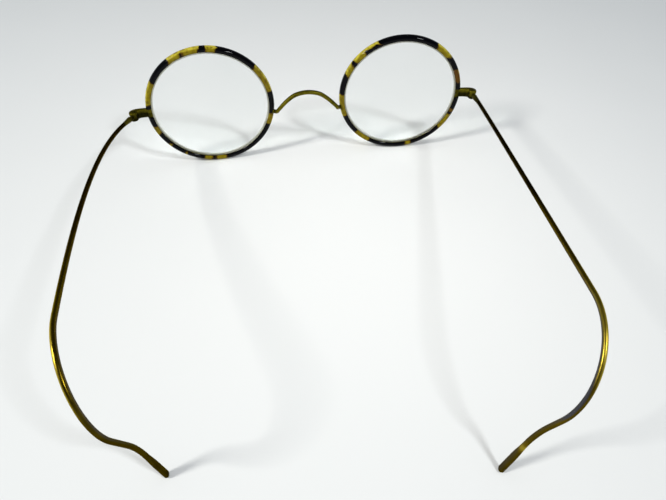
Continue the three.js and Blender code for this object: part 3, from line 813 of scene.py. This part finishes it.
def templeRows(bend, drop):
    leave = leaving(bend)
    start = leave * (temple["rootLength"] - temple["rootOverlap"])
    ease = leave * (temple["rootLength"] + bend["easeLength"])
    ear = Vector((-bend["toeIn"], -bend["earReach"], bend["earRise"]))
    run = (ear - ease).normalized()
    lean = math.radians(bend["hookLean"])
    down = Vector((-math.sin(lean), 0, -math.cos(lean)))
    down = (down - down.dot(run) * run).normalized()
    walk = []
    for i in range(temple["shaftSteps"] + 1):
        t = i / temple["shaftSteps"]
        spot = (1 - t) ** 2 * start + 2 * t * (1 - t) * ease + t * t * ear
        walk.append((spot, ((1 - t) * (ease - start) + t * (ear - ease)).normalized()))
    angle = math.radians(bend["earBend"])
    walk += arcWalk(ear, run, down, bend["earRadius"], angle, temple["earSteps"])
    hookStart, hook = walk[-1]
    for i in range(1, temple["hookSteps"] + 1):
        walk.append((hookStart + hook * (drop * i / temple["hookSteps"]), hook))
    backward = run * math.sin(angle) - down * math.cos(angle)
    flare = math.radians(bend["tipFlare"])
    walk += arcWalk(walk[-1][0], hook, backward, bend["tipRadius"], flare, temple["flareSteps"])
    across = Vector((1, 0, 0))
    steps = temple["sectionSteps"]
    rows = []
    for spot, tangent in walk:
        rows.append(sectionRing(
            spot, tangent, across, temple["wireThickness"], temple["wireHeight"],
            temple["squareness"], steps,
        ))
    padStart, tip = walk[-1]
    for i in range(1, temple["taperSteps"] + 1):
        share = i / temple["taperSteps"]
        eased = easeShare(share, 0, 1)
        rows.append(sectionRing(
            padStart + tip * (temple["tipTaper"] * share), tip, across,
            blend(temple["wireThickness"], temple["tipThickness"], eased),
            blend(temple["wireHeight"], temple["tipWidth"], eased),
            blend(temple["squareness"], temple["tipSquareness"], eased), steps,
        ))
    endStart = temple["tipLength"] - temple["tipWidth"] / 2
    for i in range(temple["endSteps"]):
        a = math.radians(temple["endTurn"] * i)
        shrink = math.cos(a)
        rows.append(sectionRing(
            padStart + tip * (endStart + temple["tipWidth"] / 2 * math.sin(a)), tip, across,
            temple["tipThickness"] * (1 + shrink) / 2, temple["tipWidth"] * shrink,
            temple["tipSquareness"], steps,
        ))
    return rows, hook


def standingTemple(bend, side):  # the hook runs down until its tip stands on the table
    place = templePlace(side)
    rows, hook = templeRows(bend, 0)
    lowest = min((place @ point).z for row in rows for point in row)
    fall = (place.to_3x3() @ hook).z
    return templeRows(bend, -lowest / fall)[0]


for name, side in sides.items():
    wire = roughPiece("wire_" + name, *skinned(standingTemple(bends[name], side)))
    markWearAndPaintedLight(wire, wearAndGlintStops[name], innerShadedShare[name])
    settle(wire, templePlace(side), "temple_" + name, wireGold, name + "_temple", crease=60)
print("temple wires made")

# Temple roots: the hinge eye with its stop heel, a neck between the lugs and a taper to the wire
root = {
    "eyeRadius": 1.2, "heelRadius": 1.6, "heelFrom": 74, "heelTo": 104, "tongue": 1.0, "neckStart": 0.85,
    "shoulder": 2.4, "height": 1.66, "thickness": 1.42, "squareness": 0.7, "wireCover": 0.03,
    "heelSteps": 10, "eyeSteps": 48, "swellSteps": 6, "taperSteps": 24, "sectionSteps": 32,
}


def rootRows(bend):
    leave = leaving(bend)
    flat = Vector((leave.x, leave.y, 0)).normalized()
    across = Vector((1, 0, 0))
    neck = root["tongue"] - hinge["play"]
    neckEnd = root["shoulder"] - (root["height"] - root["tongue"]) / 2
    steps = root["sectionSteps"]
    neckSpot = flat * root["neckStart"]
    rows = [sectionRing(neckSpot, flat, across, root["eyeRadius"], neck, root["squareness"], steps)]
    for i in range(root["swellSteps"] + 1):
        share = i / root["swellSteps"]
        swell = math.sin(share * math.pi / 2)
        spot = blend(flat * neckEnd, leave * root["shoulder"], share)
        width = blend(temple["wireThickness"], root["thickness"], swell)
        height = blend(neck, root["height"], swell)
        rows.append(sectionRing(spot, flat, across, width, height, root["squareness"], steps))
    for i in range(1, root["taperSteps"] + 1):
        share = i / root["taperSteps"]
        eased = easeShare(share, 0, 1)
        spot = leave * blend(root["shoulder"], temple["rootLength"], share)
        rows.append(sectionRing(
            spot, flat.lerp(leave, share).normalized(), across,
            blend(root["thickness"], temple["wireThickness"] + root["wireCover"], eased),
            blend(root["height"], temple["wireHeight"] + root["wireCover"], eased),
            blend(root["squareness"], temple["squareness"], eased), steps,
        ))
    return rows


for name, side in sides.items():
    eye = arcSpots((0, 0), root["heelRadius"], root["heelFrom"], root["heelTo"], root["heelSteps"])
    eye += arcSpots((0, 0), root["eyeRadius"], root["heelTo"], root["heelFrom"] + 360, root["eyeSteps"])
    butt = prism("butt_" + name, eye, -root["tongue"] / 2, root["tongue"] / 2)
    carve(butt, roughPiece("taper", *skinned(rootRows(bends[name]))), "UNION")
    carve(butt, pin("bore", hinge["screwRadius"] + hinge["play"], hinge["boreReach"]))
    place, body = templePlace(side), name + "_temple"
    settle(butt, place, "temple_butt_" + name, hingeGold, body, crease=40)
print("temple roots made")

# Table, studio light and camera
studio = {
    # the table's colour is a painted pool of light, fading to painted shade away from the middle; the darker
    # colour also tints the dull marks
    "tableSize": 6.0, "tableColour": (0.885, 0.893, 0.878), "tableShadeAndDull": (0.5, 0.528, 0.545),
    "poolMiddle": (0.022, 0.013, 0), "poolSpread": (0.074, 0.079, 1), "poolFalloff": -0.153,
    "poolFade": (0.6, 1.0), "tableMarks": (3, 30, 300), "tableDull": 0.03, "tableRough": (0.55, 0.7),
    "tableSpecular": 0.2, "backdrop": (0.575, 0.615, 0.65), "backdropStart": 0.27, "backdropEnd": 0.52,
    "lamps": {  # place in metres, width, watts, colour
        "leftLamp": ((-0.533, -0.112, 0.512), 0.13, 3.4, (1.0, 0.985, 0.94)),
        "rightLamp": ((0.593, -0.52, 0.949), 0.17, 6.5, (0.95, 0.975, 1.0)),
    },
    "seenSky": [  # sine of the height above the table, colour that the seen rays find there
        (0.0, (0.575, 0.615, 0.65)), (0.13, (0.575, 0.615, 0.65)),
        (0.34, (0.1, 0.103, 0.112)), (1.0, (0.08, 0.083, 0.09)),
    ],
    "sky": [  # the same for the light that falls on the table and the glasses
        (0.0, (0.5, 0.51, 0.53)), (0.15, (0.42, 0.427, 0.44)),
        (0.5, (0.4, 0.407, 0.418)), (1.0, (0.385, 0.391, 0.401)),
    ],
}
camera = {
    "place": (-0.010542, -0.097229, 0.12991), "yaw": 0.143301, "pitch": 0.876827, "roll": 0.019937,
    "focalPixels": 540, "imageWidth": 666, "sensor": 36, "nearClip": 0.005,
}


def seenRays(tree):  # camera, glossy and transmission rays see the pale backdrop
    path = put(tree, "LightPath").outputs
    direct = sums(tree, "MAXIMUM", path["Is Camera Ray"], path["Is Glossy Ray"])
    return sums(tree, "MAXIMUM", direct, path["Is Transmission Ray"])


def makeTable():
    half = studio["tableSize"] / 2
    corners = [(-half, -half, 0), (half, -half, 0), (half, half, 0), (-half, half, 0)]
    table = roughPiece("tabletop", corners, [(0, 1, 2, 3)])
    finish, tree, shader = newFinish("paleTable")
    where = put(tree, "TexCoord").outputs["Object"]
    shifted = put(tree, "VectorMath", {0: where, 1: studio["poolMiddle"]}, operation="SUBTRACT").outputs[0]
    spread = put(tree, "VectorMath", {0: shifted, 1: studio["poolSpread"]}, operation="DIVIDE").outputs[0]
    square = put(tree, "VectorMath", {0: spread, 1: spread}, operation="DOT_PRODUCT").outputs["Value"]
    fall = sums(tree, "POWER", sums(tree, "ADD", square, 1.0), studio["poolFalloff"])  # painted pool of light: paler in the middle, with painted shade towards the edges
    marks = handled(tree, studio["tableMarks"])
    shade = mixed(tree, ranged(tree, fall, *studio["poolFade"]), studio["tableShadeAndDull"], studio["tableColour"])
    patchy = ranged(tree, marks["Dull"], 0, 1, 0, studio["tableDull"])
    dulled = mixed(tree, patchy, shade, studio["tableShadeAndDull"])
    tree.links.new(dulled, shader.inputs["Base Color"])
    tree.links.new(ranged(tree, marks["Rub"], 0, 1, *studio["tableRough"]), shader.inputs["Roughness"])
    shader.inputs["Specular IOR Level"].default_value = studio["tableSpecular"]
    distance = put(tree, "VectorMath", {0: where}, operation="LENGTH").outputs["Value"]
    far = ranged(tree, distance, studio["backdropStart"], studio["backdropEnd"], soft=True)
    pale = put(tree, "Emission", {"Color": (*studio["backdrop"], 1), "Strength": 1.0})
    share = sums(tree, "MULTIPLY", far, seenRays(tree))
    both = put(tree, "MixShader", {0: share, 1: shader.outputs["BSDF"], 2: pale.outputs[0]})
    tree.links.new(both.outputs[0], tree.nodes["Material Output"].inputs["Surface"])
    table.data.materials.append(finish)


def makeSky():
    world = bpy.data.worlds.new("studio")
    world.use_nodes = True
    tree = world.node_tree
    tree.nodes.clear()
    direction = put(tree, "TexCoord").outputs["Generated"]
    height = put(tree, "SeparateXYZ", {0: direction}).outputs["Z"]
    falling = ramped(tree, height, studio["sky"])
    seen = ramped(tree, height, studio["seenSky"])
    shade = mixed(tree, seenRays(tree), falling, seen)
    glow = put(tree, "Background", {"Color": shade, "Strength": 1.0})
    put(tree, "OutputWorld", {"Surface": glow.outputs[0]})
    bpy.context.scene.world = world


def makeLamp(name, place, width, watts, colour):
    data = bpy.data.lights.new(name, "AREA")
    data.shape = "DISK"
    data.size = width
    data.energy = watts
    data.color = colour
    lamp = bpy.data.objects.new(name, data)
    lamp.location = place
    lamp.rotation_euler = (-Vector(place)).to_track_quat("-Z", "Y").to_euler()
    bpy.context.scene.collection.objects.link(lamp)


def makeCamera():
    yaw, pitch, roll = camera["yaw"], camera["pitch"], camera["roll"]
    ahead = Vector((math.sin(yaw) * math.cos(pitch), math.cos(yaw) * math.cos(pitch), -math.sin(pitch)))
    right = Vector((math.cos(yaw), -math.sin(yaw), 0))
    up = right.cross(ahead)
    axisX = right * math.cos(roll) + up * math.sin(roll)
    axisY = up * math.cos(roll) - right * math.sin(roll)
    turn = Matrix((axisX, axisY, -ahead)).transposed().to_4x4()
    data = bpy.data.cameras.new("viewpoint")
    data.sensor_fit = "HORIZONTAL"
    data.sensor_width = camera["sensor"]
    data.lens = camera["sensor"] * camera["focalPixels"] / camera["imageWidth"]
    data.clip_start = camera["nearClip"]
    viewpoint = bpy.data.objects.new("viewpoint", data)
    viewpoint.matrix_world = Matrix.Translation(camera["place"]) @ turn
    bpy.context.scene.collection.objects.link(viewpoint)
    bpy.context.scene.camera = viewpoint


makeTable()
makeSky()
for lampName, settings in studio["lamps"].items():
    makeLamp(lampName, *settings)
makeCamera()
bpy.context.scene.view_settings.view_transform = "Standard"
print("studio made")
